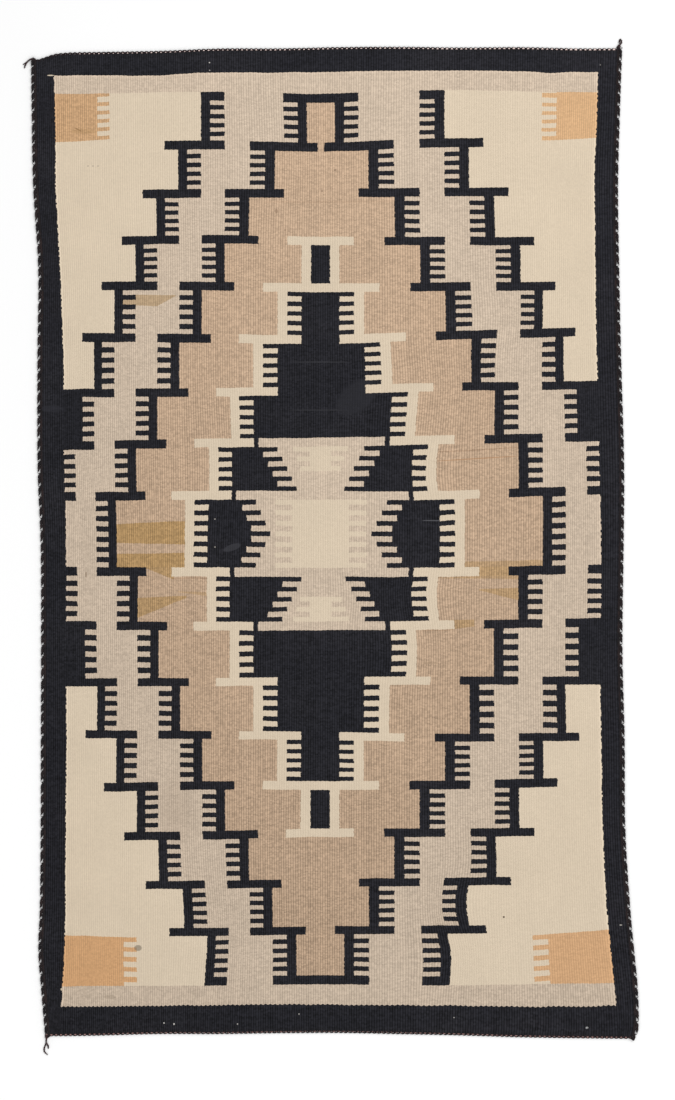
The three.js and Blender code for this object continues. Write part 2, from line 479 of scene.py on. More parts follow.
# Points of the cloth, in millimetres, for grids of warps and tiers.
def chartToPlace(warps, tiers):
    row = warps[0]
    plainX = smoothColumn(warpPlaces, "warp", "x", row)
    for settling in range(3):
        levels, heights = chartLines(row, plainX)
        k = np.clip(np.searchsorted(levels, tiers[:, 0], side="right") - 1, 0, len(levels) - 2)
        t = ((tiers[:, 0] - levels[k]) / (levels[k + 1] - levels[k]))[:, None]
        y = heights[k] * (1 - t) + heights[k + 1] * t
        x = warpX(warps, y)
        plainX = (x[0] + x[-1]) / 2
    return x, y


def tierRows():
    share = weave["barShare"]
    half = list(np.linspace(0, 0.5, cloth["rowsInMiddleTier"] // 2 + 1))
    for tier in range(1, 9):
        start = tier - 0.5
        half += list(np.linspace(start + share, start + 1, cloth["rowsPerComb"] + 1))
    half += [8.5 + share, weave["borderTier"]]
    half += list(np.linspace(weave["borderTier"], weave["endTier"], cloth["rowsInBorder"] + 1))[1:]
    return sorted({round(way * tier, 6) for tier in half for way in (1, -1)})


# The chart place of a point in the bottom border.
def holeOnChart():
    warps = np.arange(-weave["warpsLeft"], weave["warpsRight"] + 0.5, 0.5)
    tiers = np.linspace(-weave["endTier"], -weave["borderTier"], 81)
    grid = np.meshgrid(warps, tiers)
    x, y = chartToPlace(grid[0], grid[1])
    nearest = np.argmin((x - hole["x"]) ** 2 + (y - hole["y"]) ** 2)
    row, column = np.unravel_index(nearest, x.shape)
    perMillimetre = (tiers[1] - tiers[0]) / (y[1, column] - y[0, column])
    return warps[column], tiers[row], abs(hole["along"] / 2 * perMillimetre)


def clothPoints():
    holeWarp, holeTier, holeReach = holeOnChart()
    clear = 2 * holeReach
    rows = [tier for tier in tierRows() if abs(tier - holeTier) > clear or abs(tier) >= weave["endTier"]]
    rows = np.array(sorted(rows + [holeTier - holeReach, holeTier, holeTier + holeReach]))
    step = 1 / cloth["columnsPerWarp"]
    columns = np.arange(-weave["warpsLeft"], weave["warpsRight"] + step / 2, step)
    warps, tiers = np.meshgrid(columns, rows)
    x, y = chartToPlace(warps, tiers)
    firstWarp = int(np.argmin(abs(columns - holeWarp))) - 1
    midRow = int(np.argmin(abs(rows - holeTier)))
    holeCells = {(r, c) for r in (midRow - 1, midRow) for c in range(firstWarp, firstWarp + 3)}
    middle = (x[midRow, firstWarp] + x[midRow, firstWarp + 3]) / 2
    for r in (midRow - 1, midRow, midRow + 1):
        for c in range(firstWarp, firstWarp + 4):
            angle = math.atan2((r - midRow) / 1.2, (c - firstWarp - 1.5) / 1.5)
            if r != midRow or c in (firstWarp, firstWarp + 3):
                x[r, c] = middle + hole["across"] / 2 * math.cos(angle)
                y[r, c] = hole["y"] + hole["along"] / 2 * math.sin(angle)
    return warps, tiers, x, y, holeCells


def makeMesh(name, points, edges, faces):
    mesh = bpy.data.meshes.new(name)
    mesh.from_pydata(points, edges, faces)
    mesh.validate()
    mesh.update()
    item = bpy.data.objects.new(name, mesh)
    bpy.context.collection.objects.link(item)
    return item


def smoothed(item):
    item.data.polygons.foreach_set("use_smooth", [True] * len(item.data.polygons))
    return item


# Slow rises and falls between -1 and 1, the same on each run.
def unevenGround(x, y):
    return (
        np.sin(x / 61 + 1.3 * np.sin(y / 83)) * np.cos(y / 47 + 0.8)
        + 0.6 * np.sin(x / 23 + y / 31 + 2.1)
    ) / 1.6


def makeCloth():
    warps, tiers, x, y, holeCells = clothPoints()
    low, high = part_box("rug_cloth")
    shift = (low[0] / millimetre - x.min(), low[1] / millimetre - y.min())
    thickness = (high[2] - low[2]) / millimetre
    groove = np.where(np.abs(warps % 1) < 0.25, 1.0, 0.0)
    sink = cloth["ribDepth"] * groove + cloth["unevenness"] * (0.5 + 0.5 * unevenGround(x, y))
    rows, columns = x.shape
    top = np.stack([x + shift[0], y + shift[1], thickness - sink], axis=-1).reshape(-1, 3)
    under = np.stack([x + shift[0], y + shift[1], sink], axis=-1).reshape(-1, 3)
    count = rows * columns
    points = np.concatenate([top, under]) * millimetre
    faces = []

    def solid(r, c):
        return 0 <= r < rows - 1 and 0 <= c < columns - 1 and (r, c) not in holeCells

    near = {(r + i, c + j) for r, c in holeCells for i in (-1, 0, 1) for j in (-1, 0, 1)}
    for r in range(rows - 1):
        for c in range(columns - 1):
            if (r, c) in holeCells:
                continue
            a = r * columns + c
            b = a + 1
            d = a + columns
            e = d + 1
            faces.append((a, b, e, d))
            faces.append((a + count, d + count, e + count, b + count))
            edge = r in (0, rows - 2) or c in (0, columns - 2) or (r, c) in near
            if not edge:
                continue
            if not solid(r - 1, c):
                faces.append((b, a, a + count, b + count))
            if not solid(r + 1, c):
                faces.append((d, e, e + count, d + count))
            if not solid(r, c - 1):
                faces.append((a, d, d + count, a + count))
            if not solid(r, c + 1):
                faces.append((e, b, b + count, e + count))
    item = smoothed(makeMesh("rugCloth", points.tolist(), [], faces))
    corners = np.zeros(len(item.data.loops), np.int32)
    item.data.loops.foreach_get("vertex_index", corners)
    chart = np.stack([warps, tiers], axis=-1).reshape(-1, 2)
    chart = np.concatenate([chart, chart])[corners]
    item.data.uv_layers.new(name="chart").uv.foreach_set("vector", chart.astype(np.float32).ravel())
    return item, shift


# Colours of the yarns as they show in daylight.
yarns = {
    "black": dyed(33, 33, 38),
    "blackWorn": dyed(44, 43, 47),
    "cream": dyed(218, 201, 177),
    "creamCentre": dyed(216, 199, 175),
    "grey": dyed(197, 179, 159),
    "tan": dyed(188, 161, 135),
    "ochre": dyed(174, 141, 97),
    "brown": dyed(150, 118, 92),
    "straw": dyed(178, 153, 122),
}
# The stepped pattern, in warps from the middle line.
steps = {
    "step": 10,  # warps that each tier steps in
    "bar": 4,
    "tooth": 6,
    "outer": 130,
    "inner": 94,
    "centre": 48,
    "capOut": 16,  # the cross bar's reach beyond the tier's own edge
    "capIn": 8,
    "combTeeth": 4.47,  # gap and tooth pairs in a tier's height
    "combGap": 0.47,
    "middleTeeth": 6.53,
    "centreTeeth": 4.47,
    "centreTooth": 0.47,
    "centreMiddleTeeth": 6.47,
}
# Where a block of gold yarn fills each corner: its solid part from this warp outwards,
# its teeth from the next, its foot in the tier's height, how far that leans over a hundred
# warps, and the pairs of tooth and gap in a tier.
cornerBlocks = [
    {
        "right": 0, "upper": 1, "solid": 96, "teeth": 90.5, "foot": 0.04, "lean": 0.24,
        "pairs": 5.65, "tooth": 0.45, "dye": (202, 163, 123),
    },
    {
        "right": 1, "upper": 1, "solid": 97, "teeth": 90.5, "foot": -0.045, "lean": -0.12,
        "pairs": 5.25, "tooth": 0.44, "dye": (215, 174, 131),
    },
    {
        "right": 0, "upper": 0, "solid": 86, "teeth": 80, "foot": -0.01, "lean": 0.16,
        "pairs": 4.87, "tooth": 0.46, "dye": (203, 158, 114),
    },
    {
        "right": 1, "upper": 0, "solid": 90, "teeth": 84, "foot": -0.01, "lean": 0.33,
        "pairs": 4.87, "tooth": 0.46, "dye": (205, 163, 122),
    },
]


# Masks are 1 inside and 0 outside. A pattern reads the chart, folded at the middle lines.
class Chart:
    def __init__(self, desk):
        self.desk = desk
        place = desk.add("ShaderNodeUVMap", {"uv_map": "chart"}, {})
        split = desk.split(place)
        self.warp = split.out("X")
        self.tier = split.out("Y")
        # Turns of the weft leave an upright join ragged and a level one scalloped.
        row = desk.maths("FLOOR", self.tier * weave["weftsPerTier"] * 0.7)
        patch = desk.maths("FLOOR", self.warp / 7)
        ragged = desk.white(desk.joined(row, patch))
        slow = desk.add(
            "ShaderNodeTexNoise",
            {"noise_dimensions": "2D"},
            {"Vector": desk.joined(self.warp * 0.11, self.tier * 2.2), "Scale": 1.0, "Detail": 1.0},
        )
        scallop = desk.maths("COSINE", self.warp * math.pi) * desk.blend(self.tier < -8.8, 0.0025, 0.0072)
        self.warpJoin = self.warp + (ragged - 0.5) * desk.blend(abs(self.warp) > 108, 0.34, 0.55)
        self.tierJoin = self.tier + scallop + (slow - 0.5) * 0.024
        self.across = abs(self.warpJoin)
        self.along = abs(self.tierJoin)
        self.right = self.warp > 0
        self.upper = self.tier > 0
        self.number = desk.maths("FLOOR", self.along + 0.5)
        share = self.along + 0.5 - self.number
        self.inBar = (self.number > 0.5) & (share < weave["barShare"])
        self.inComb = ~self.inBar
        # How far up the comb, from its middle side.
        self.height = (share - weave["barShare"]) / (1 - weave["barShare"])
        self.middle = self.number < 0.5
        self.fromMiddle = self.tierJoin + 0.5  # up the middle tier

    def isTier(self, number):
        return (self.number > number - 0.5) & (self.number < number + 0.5)

    def between(self, value, low, high):
        return (value > low) & (value < high)

    # How far up a row of teeth, in pairs of tooth and gap.
    def pairs(self, perTier, inMiddle):
        return self.desk.blend(self.middle, self.height * perTier, self.fromMiddle * inMiddle)


def staircases(chart):
    across = chart.across
    number = chart.number
    pairs = chart.pairs(steps["combTeeth"], steps["middleTeeth"])
    tooth = chart.desk.maths("FRACT", pairs) > steps["combGap"]
    outer = steps["outer"] - number * steps["step"]
    lastTier = number > 8.5
    barFoot = outer - steps["bar"]
    toBorder = (across < outer) | (number < 2.5)
    outerBar = chart.inComb & (across > barFoot) & toBorder
    outerTeeth = chart.inComb & tooth & chart.between(across, barFoot - steps["tooth"], barFoot + 0.5)
    capFoot = barFoot - steps["tooth"] + lastTier * steps["step"]
    capHead = outer + steps["capOut"] - lastTier * 6
    outerCap = chart.inBar & chart.between(across, capFoot, capHead)
    outerParts = (outerBar | outerTeeth | outerCap) & (number > 0.5) & ~(lastTier & chart.inComb)

    narrow = chart.isTier(8) & chart.upper & chart.inComb  # the topmost tier stands closer
    inner = steps["inner"] - number * steps["step"] - narrow * 4
    innerBar = chart.between(across, inner - steps["bar"], inner)
    innerTeeth = tooth & chart.between(across, inner - 0.5, inner + steps["tooth"])
    innerCap = chart.between(across, inner - steps["capIn"], inner + steps["capOut"])
    innerParts = (chart.inComb & (innerBar | innerTeeth) & ~lastTier) | (chart.inBar & innerCap)
    lastCap = chart.inBar & lastTier & (across < chart.desk.blend(chart.upper, 20, 16))
    neck = chart.inBar & chart.isTier(8) & chart.upper & chart.between(across, 1.4, inner)
    border = (across > weave["borderWarp"]) | (chart.along > weave["borderTier"])
    black = outerParts | (innerParts & ~lastTier) | lastCap | neck | border
    cream = (number > 2.5) & (across > outer) & ~(lastTier & chart.inComb)
    tan = across < inner - steps["bar"]
    return black, cream, tan & ~lastTier


def centreMotif(chart):
    across = chart.across
    number = chart.number
    pairs = chart.pairs(steps["centreTeeth"], steps["centreMiddleTeeth"])
    tooth = chart.desk.maths("FRACT", pairs) < steps["centreTooth"]
    order = chart.desk.maths("FLOOR", pairs)
    edge = steps["centre"] - number * steps["step"]
    combed = chart.inComb & (number < 4.5)
    tip = chart.inComb & chart.isTier(5)
    barred = chart.inBar & chart.between(number, 0.5, 6.5)
    solid = combed & (across < edge)
    solid = solid | (tip & (across < 4)) | (barred & (number > 2.5) & (across < edge))
    teeth = combed & tooth & chart.between(across, edge - 0.5, edge + 6)
    link = barred & (number < 2.5) & chart.between(across, edge - 2, edge)
    cream = (combed & (across < edge + 10)) | (tip & (across < 8)) | (barred & (across < edge + 26))

    # The hourglass of grey and cream inside, with stepped edges of its own.
    lowerLeft = ~chart.right & ~chart.upper
    edgeOne = chart.desk.blend(tooth, 18, 10) + order * 2 - lowerLeft * 2
    edgeNought = chart.desk.blend(tooth, 28 + abs(order - 2.5) * 2, 21 + abs(order - 3) * 2)
    ground = (chart.inComb & chart.isTier(1) & (across < edgeOne)) | (chart.middle & (across < edgeNought))
    ground = ground | (barred & (number < 2.5) & (across < edge - 2))
    fromEnd = 4 - order
    figureOne = (tooth & (across < 11.5 - fromEnd * 1.5)) | (~tooth & (across < 4.5))
    figureOne = figureOne & (order > 1.5) & chart.isTier(1) & chart.inComb
    figure = figureOne | (chart.middle & (across < chart.desk.blend(tooth, 12, 19)))
    return (solid | teeth | link) & ~ground, cream, ground, figure


def goldCorners(chart, colour):
    height = chart.along - (8 - 0.5 + weave["barShare"])
    whole = 0
    for block in cornerBlocks:
        side = chart.right if block["right"] else ~chart.right
        place = side & (chart.upper if block["upper"] else ~chart.upper)
        level = height + (chart.across - 100) * (block["lean"] / 100)
        tooth = chart.desk.maths("FRACT", (level - block["foot"]) * block["pairs"]) < block["tooth"]
        filled = (chart.across > block["solid"]) | (tooth & (chart.across > block["teeth"]))
        mask = (level > block["foot"]) & (height < 1) & place & filled
        colour = paint(chart.desk, colour, dyed(*block["dye"]), mask)
        whole = whole + mask
    return whole, colour


# Bands, wedges and fine lines where the yarn changed: a box on the chart whose upper and
# lower edges may slope, from the first tier at its left to the second at its right.
streaks = rowsOf(
    "yarn warps head foot much",
    ("ochre", (-94, -58), (0.14, 0.185), (-0.13, -0.16), 1.0),
    ("ochre", (-94, -58), (-0.3, -0.285), (-0.5, -0.5), 1.0),
    ("ochre", (-77, -63), (-0.5, -0.5), (-0.51, -0.72), 0.9),
    ("ochre", (-84, -57), (-1.08, -1.02), (-1.5, -1.06), 0.85),
    ("ochre", (-61, -48), (-0.94, -0.95), (-0.955, -1.02), 0.5),
    ("brown", (-64, -48), (-0.69, -0.69), (-0.71, -0.71), 0.45),
    ("ochre", (57, 90), (-0.42, -0.42), (-0.5, -0.5), 0.6),
    ("ochre", (64, 77), (-0.5, -0.5), (-0.67, -0.67), 0.75),
    ("ochre", (48, 80), (-0.68, -0.66), (-0.69, -0.74), 0.6),
    ("ochre", (64, 80), (-0.92, -0.9), (-0.94, -1.14), 0.7),
    ("ochre", (52, 62), (-1.49, -1.49), (-1.68, -1.62), 0.7),
    ("brown", (46, 80), (1.37, 1.43), (1.345, 1.405), 0.4),
    ("brown", (41, 52), (-1.67, -1.67), (-1.69, -1.69), 0.4),
    ("brown", (-24, 31), (6.43, 6.43), (6.39, 6.39), 0.16),
)
greyStreaks = rowsOf(
    "yarn warps head foot much",
    ("straw", (-86, -70), (4.41, 4.41), (4.21, 4.19), 1.0),
    ("straw", (-70, -61.5), (4.41, 4.41), (4.19, 4.4), 1.0),
)


def changedYarn(chart, colour, places, allowed):
    desk = chart.desk
    for streak in places:
        first, last = streak["warps"]
        share = (chart.warp - first) / (last - first)
        head = desk.blend(share, *streak["head"])
        foot = desk.blend(share, *streak["foot"])
        mask = chart.between(chart.warpJoin, first, last) & (chart.tierJoin < head)
        mask = mask & (chart.tierJoin > foot)
        colour = paint(desk, colour, yarns[streak["yarn"]], mask & allowed & streak["much"])
    return colour


# Stains, mends and worn spots: ovals in millimetres, with how many millimetres they climb in
# each across, and how quickly their edges fade: 2 is nearly sharp.
stains = rowsOf(
    "x y wide high dye much slope soft",
    (224.8, 133.6, 63, 0.9, (166, 120, 80), 0.55, 0.061),
    (-83.2, 513.8, 2.4, 3.2, (128, 102, 82), 0.5),
    (-13.3, 544.5, 1.5, 1.3, (110, 86, 70), 0.6),
    (6.7, 576.8, 1.5, 1.3, (110, 86, 70), 0.6),
    (-70.1, 484.6, 1.6, 1.2, (110, 86, 70), 0.5),
    (-375.8, -44.5, 1.1, 4.2, (120, 96, 74), 0.6),
    (-295.9, -618.2, 5.5, 4.5, (118, 108, 94), 0.65),
    (265.9, -570.6, 1.6, 1.4, (92, 76, 62), 0.95),
    (153.4, -180.5, 13, 1.0, (150, 128, 104), 0.6),
    (-379, 636, 20, 3.5, (150, 118, 72), 0.25),
    (-388, 639, 5, 1.0, (128, 96, 58), 0.6, -0.5),
    (-372.7, 583, 1.4, 1.1, (140, 126, 108), 0.5),
    (-365, 583, 1.4, 1.1, (140, 126, 108), 0.5),
    (-357.3, 583, 1.4, 1.1, (140, 126, 108), 0.5),
    (-338.9, -693.5, 9, 3, (148, 132, 114), 0.4),
    (-236, -406, 27, 54, (160, 142, 124), 0.28, 0.0, 0.77),
)
nicks = rowsOf(
    "x y wide high dye much slope soft",
    (-186.1, 741.9, 1.0, 1.0, (210, 206, 200), 0.8),
    (-185.8, 730, 0.9, 0.9, (190, 186, 180), 0.7),
    (-177.7, 40.7, 1.2, 1.0, (170, 164, 156), 0.7),
    (-177.7, -2.3, 1.2, 1.0, (170, 164, 156), 0.7),
    (445.7, -582.9, 2.0, 0.8, (190, 184, 176), 0.8),
    (-256, -733.4, 0.9, 1.1, (210, 206, 200), 0.9),
    (-240.6, -735, 1.0, 1.4, (210, 206, 200), 0.9),
    (-143.1, -735, 0.9, 1.0, (190, 186, 180), 0.8),
    (-48.6, -719.6, 0.9, 0.9, (190, 186, 180), 0.8),
    (189.5, -725, 0.9, 0.9, (190, 186, 180), 0.8),
    (156.3, 38.4, 15, 0.8, (98, 98, 102), 0.6),
    (-151.5, -3.1, 13, 5, (62, 62, 67), 0.6, 0.3),
    (-16, 281.9, 45, 0.9, (60, 60, 64), 0.6),
    (-16, 208.1, 50, 0.9, (60, 60, 64), 0.5),
    (40, 228, 30, 24, (43, 43, 48), 0.7, 0.4),
    (-430, 210, 18, 5, (45, 45, 51), 0.6),
    (-413.6, -681.7, 1.3, 1.8, (214, 198, 172), 0.8),
    (414.2, 738.5, 1.1, 1.1, (200, 194, 186), 0.22),
    (-430.2, 722.2, 5, 0.9, (222, 206, 182), 0.9),
)


def marked(desk, colour, x, y, marks, allowed):
    for mark in marks:
        away = (x - mark["x"]) / mark["wide"]
        beside = (y - mark["y"] - (x - mark["x"]) * mark.get("slope", 0.0)) / mark["high"]
        inside = (1.3 - away * away - beside * beside) * mark.get("soft", 2.0)
        share = desk.maths("MINIMUM", inside, 1) * mark["much"]
        colour = paint(desk, colour, dyed(*mark["dye"]), share * allowed)
    return colour


def paint(desk, base, over, share):
    return desk.add(
        "ShaderNodeMix",
        {"data_type": "RGBA", "clamp_factor": True},
        {0: share, 6: base, 7: over},
        output=2,
    )


wool = {
    "roughness": 0.96,
    "sheen": 0.06,
    "specular": 0.12,
    "relief": 0.0011,  # metres
}
# How much each unevenness changes the wool's tone, with the painted shade in the rib grooves and the painted
# highlight at the border turns.
grain = {
    "rib": 0.07,
    "ribPatch": 0.14,
    "bead": 0.26,
    "row": 0.3,
    "paintedRibShade": 0.17,
    "slow": 0.12,
    "turns": 0.12,
    "inCream": 0.2,  # a share of the speckle and painted rib shade, as below
    "inGrey": 0.75,
    "inTan": 1.1,
    "inGold": 0.9,
    "inFirstGold": 0.55,
    "inBlack": 2.2,
}
# Tone of each yarn at the middle row, and what it gains with each tier up: a painted falloff of the light
# that leaves the wool darker towards the bottom.
toneAndShadeTable = {"grey": (1.0, 0.009), "tan": (0.957, 0.015), "cream": (0.957, 0.0042), "black": (0.92, 0.011)}


def tapestryWool(shift):
    material, desk = newMaterial("tapestryWool")
    chart = Chart(desk)
    place = desk.split(desk.objectPlace())
    x = place.out("X") / millimetre - float(shift[0])
    y = place.out("Y") / millimetre - float(shift[1])
    black, cream, tan = staircases(chart)
    centreBlack, centreCream, ground, figure = centreMotif(chart)
    tanField = tan & ~centreCream

    def noise(x, y, seed):
        place = desk.joined(x, y, seed)
        return desk.add("ShaderNodeTexNoise", {}, {"Vector": place, "Scale": 1.0, "Detail": 2.0})

    colour = paint(desk, yarns["grey"], yarns["tan"], tan)
    colour = changedYarn(chart, colour, streaks, tanField)
    colour = changedYarn(chart, colour, greyStreaks, ~tan)
    colour = paint(desk, colour, yarns["cream"], cream)
    gold, colour = goldCorners(chart, colour)
    colour = paint(desk, colour, yarns["creamCentre"], centreCream)
    colour = paint(desk, colour, desk.scaled(yarns["grey"][:3], 1 + chart.upper * 0.03), ground)
    colour = paint(desk, colour, yarns["creamCentre"], figure)

    # Each rib takes the dye a little differently, and each bead of weft on it too; the undyed cream is the
    # most even. The rib profile adds painted shade in the grooves and a painted highlight on the crowns.
    rib = desk.maths("FLOOR", chart.warp)
    odd = rib % 2
    weft = desk.maths("FLOOR", chart.tier * weave["weftsPerTier"] + odd * 0.5)
    perRib = desk.add("ShaderNodeTexWhiteNoise", {"noise_dimensions": "1D"}, {"W": rib + 0.5})
    perBead = desk.white(desk.joined(rib, weft))
    ribPatch = noise(rib * 0.9, chart.tier * 14, 3.0)
    row = noise(chart.warp * 0.12, chart.tier * weave["weftsPerTier"] * 0.5, 7.0)
    slow = noise(chart.warp * 0.035, chart.tier * 0.9, 19.0)
    profile = desk.maths("COSINE", (chart.warp - 0.5) * 2 * math.pi)
    even = ((cream & ~gold) | (centreCream & ~ground) | figure) & ~(black | centreBlack)
    speckleAndRibShade = (perRib - 0.5) * grain["rib"] + (ribPatch - 0.5) * grain["ribPatch"]
    speckleAndRibShade = speckleAndRibShade + (perBead - 0.5) * grain["bead"] + (row - 0.5) * grain["row"]
    # Painted shade in the grooves between ribs, painted highlight on their crowns.
    speckleAndRibShade = speckleAndRibShade + profile * grain["paintedRibShade"]

    # Painted shade: the wool runs darker towards the bottom, a painted falloff of the light; the gold
    # doesn't.
    def shadedToneAt(name):
        tone, paintedShadePerTier = toneAndShadeTable[name]
        return tone + chart.tier * paintedShadePerTier

    toneWithPaintedShade = desk.blend(tanField, shadedToneAt("grey"), shadedToneAt("tan"))
    toneWithPaintedShade = desk.blend(even, toneWithPaintedShade, shadedToneAt("cream"))
    toneWithPaintedShade = desk.blend(gold, toneWithPaintedShade, 0.97)
    goldShare = desk.blend(chart.upper & ~chart.right, grain["inFirstGold"], grain["inGold"])
    share = desk.blend(gold, desk.blend(tanField, grain["inGrey"], grain["inTan"]), goldShare)
    share = desk.blend(even, share, grain["inCream"])
    tone = toneWithPaintedShade + speckleAndRibShade * share + (slow - 0.5) * grain["slow"]
    # Painted highlight: a narrow band of wool made lighter where the wefts turn beside the dark borders, as
    # if the bulging turns caught the light.
    turns = chart.between(chart.across, weave["borderWarp"] - 0.9, weave["borderWarp"])
    turns = turns | (chart.between(chart.tierJoin, weave["borderTier"] - 0.03, weave["borderTier"]) & 0.8)
    colour = desk.scaled(colour, tone + turns * grain["turns"])
    darkWool = paint(desk, yarns["black"], yarns["blackWorn"], (slow - 0.42) * 1.2)
    # Painted shade on the dark wool too: darker towards the bottom and towards the left.
    darkTone = shadedToneAt("black") + chart.warp * 0.0006 + speckleAndRibShade * grain["inBlack"]
    darkWool = desk.scaled(darkWool, darkTone)
    colour = marked(desk, colour, x, y, stains, 1)
    colour = paint(desk, colour, darkWool, black | centreBlack)
    colour = marked(desk, colour, x, y, nicks, black | centreBlack)

    # Rounded ribs, and on them beads of weft that lie half a step over on every other rib.
    bead = desk.maths("COSINE", (chart.tier * weave["weftsPerTier"] + odd * 0.5) * 2 * math.pi)
    hair = {"Vector": desk.objectPlace(), "Scale": 900, "Detail": 4.0}
    hair = desk.add("ShaderNodeTexNoise", {}, hair)
    relief = profile * 0.2 + bead * 0.06 + hair * 0.2
    normal = desk.add("ShaderNodeBump", {}, {"Strength": 1.0, "Distance": wool["relief"], "Height": relief})
    finishWool(desk, colour, normal)
    return material


def finishWool(desk, colour, normal):
    shader = desk.add(
        "ShaderNodeBsdfPrincipled",
        {},
        {
            "Base Color": colour,
            "Roughness": wool["roughness"],
            "Specular IOR Level": wool["specular"],
            "Sheen Weight": wool["sheen"],
            "Sheen Roughness": 0.5,
            "Normal": normal,
        },
    )
    desk.add("ShaderNodeOutputMaterial", {}, {"Surface": shader})


# Yarns that follow a line: a tree of nodes lays two strands that twist about each other.
# Lengths are in millimetres, and a phase runs from 0 to 2 along a whole turn. A strand comes
# out between Start and Emerge, thins from Thin From on and goes in between Return and Back.
# First an even twist, for what a yarn doesn't say itself.
plainTwist = {
    "Start": 0.0,
    "Emerge": 1.0,
    "Return": 1.0,
    "Back": 2.0,
    "Peak": 0.5,
    "Thin": 0.0,
    "Thin From": 0.0,
    "Tip": 1.0,
    "Crowd": 0.0,
}
sideYarn = {
    "lengths": {
        "Strand": 2.0, "Half Turn": 17.6, "Step": 0.8, "Out": 3.5, "In": -0.5, "Middle": 2.4, "Rise": 0.6,
    },
    "shares": {
        "Start": 0.12,
        "Emerge": 0.4,
        "Return": 1.12,
        "Back": 1.22,
        "Peak": 0.3,
        "Thin": 0.96,
        "Thin From": 0.76,
        "Ply": 0.1,
        "Ply Turn": 0.007,
        "Wander": 0.22,
    },
    "sides": 9,
    "look": {"colour": (31, 28, 30), "second": (45, 36, 36)},
    "fuzz": {"Density": 9000.0, "Length": 0.0016},
}
endYarn = {
    "lengths": {
        "Strand": 1.0, "Half Turn": 7.3, "Step": 0.85, "Out": 2.8, "In": 0.0, "Middle": 1.75, "Rise": 0.6,
    },
    "shares": {"Ply": 0.08, "Ply Turn": 0.004, "Wander": 0.05},
    "sides": 8,
    "look": {"colour": (30, 22, 24), "second": (48, 34, 36)},
    "fuzz": {"Density": 9000.0, "Length": 0.0014},
}
tieYarn = {
    "lengths": {
        "Strand": 0.78, "Half Turn": 3.0, "Step": 0.4, "Out": 0.64, "In": -0.64, "Middle": 0.0, "Rise": 0.55,
    },
    "shares": {"Tip": 0.5, "Ply": 0.06, "Ply Turn": 0.003, "Wander": 0.06},
    "sides": 8,
    "look": {"colour": (38, 30, 32), "second": (92, 68, 68)},
    "fuzz": {"Density": 90000.0, "Length": 0.0024},
}
# How the turns wander, in noise steps a metre and as a share, and how they crowd together
# near both ends of a side cord: within these lengths in metres, and a share at its foot.
wandering = {"shared": 22, "own": 60, "ownShare": 0.08}
crowding = {"atHead": 0.06, "atFoot": 0.07, "footShare": 0.5}


def newTree(name, sockets):
    tree = bpy.data.node_groups.new(name, "GeometryNodeTree")
    tree.interface.new_socket("Geometry", in_out="INPUT", socket_type="NodeSocketGeometry")
    for label, kind in {**sockets, "Material": "NodeSocketMaterial"}.items():
        tree.interface.new_socket(label, in_out="INPUT", socket_type=kind)
    tree.interface.new_socket("Geometry", in_out="OUTPUT", socket_type="NodeSocketGeometry")
    desk = Desk(tree)
    return tree, desk, desk.add("NodeGroupInput", {}, {}).out


# The last nodes of a tree, the same in each. Nothing hangs below the floor.
def finishTree(desk, parts, material):
    whole = desk.add("GeometryNodeRealizeInstances", {}, {0: desk.gathered(parts)})
    floor = (-10, -10, 0.00002)
    resting = desk.vector("MAXIMUM", desk.pointPlace(), floor)
    whole = desk.add("GeometryNodeSetPosition", {}, {0: whole, "Position": resting})
    finished = desk.add("GeometryNodeSetMaterial", {}, {"Geometry": whole, "Material": material})
    desk.add("NodeGroupOutput", {}, {0: finished})


def eased(desk, value, start, stop):
    settings = {"interpolation_type": "SMOOTHSTEP"}
    return desk.add("ShaderNodeMapRange", settings, {"Value": value, "From Min": start, "From Max": stop})


def stored(desk, geometry, name, value):
    settings = {"data_type": "FLOAT", "domain": "POINT"}
    return desk.add("GeometryNodeStoreNamedAttribute", settings, {0: geometry, "Name": name, "Value": value})


def named(desk, name):
    return desk.add("GeometryNodeInputNamedAttribute", {"data_type": "FLOAT"}, {0: name})


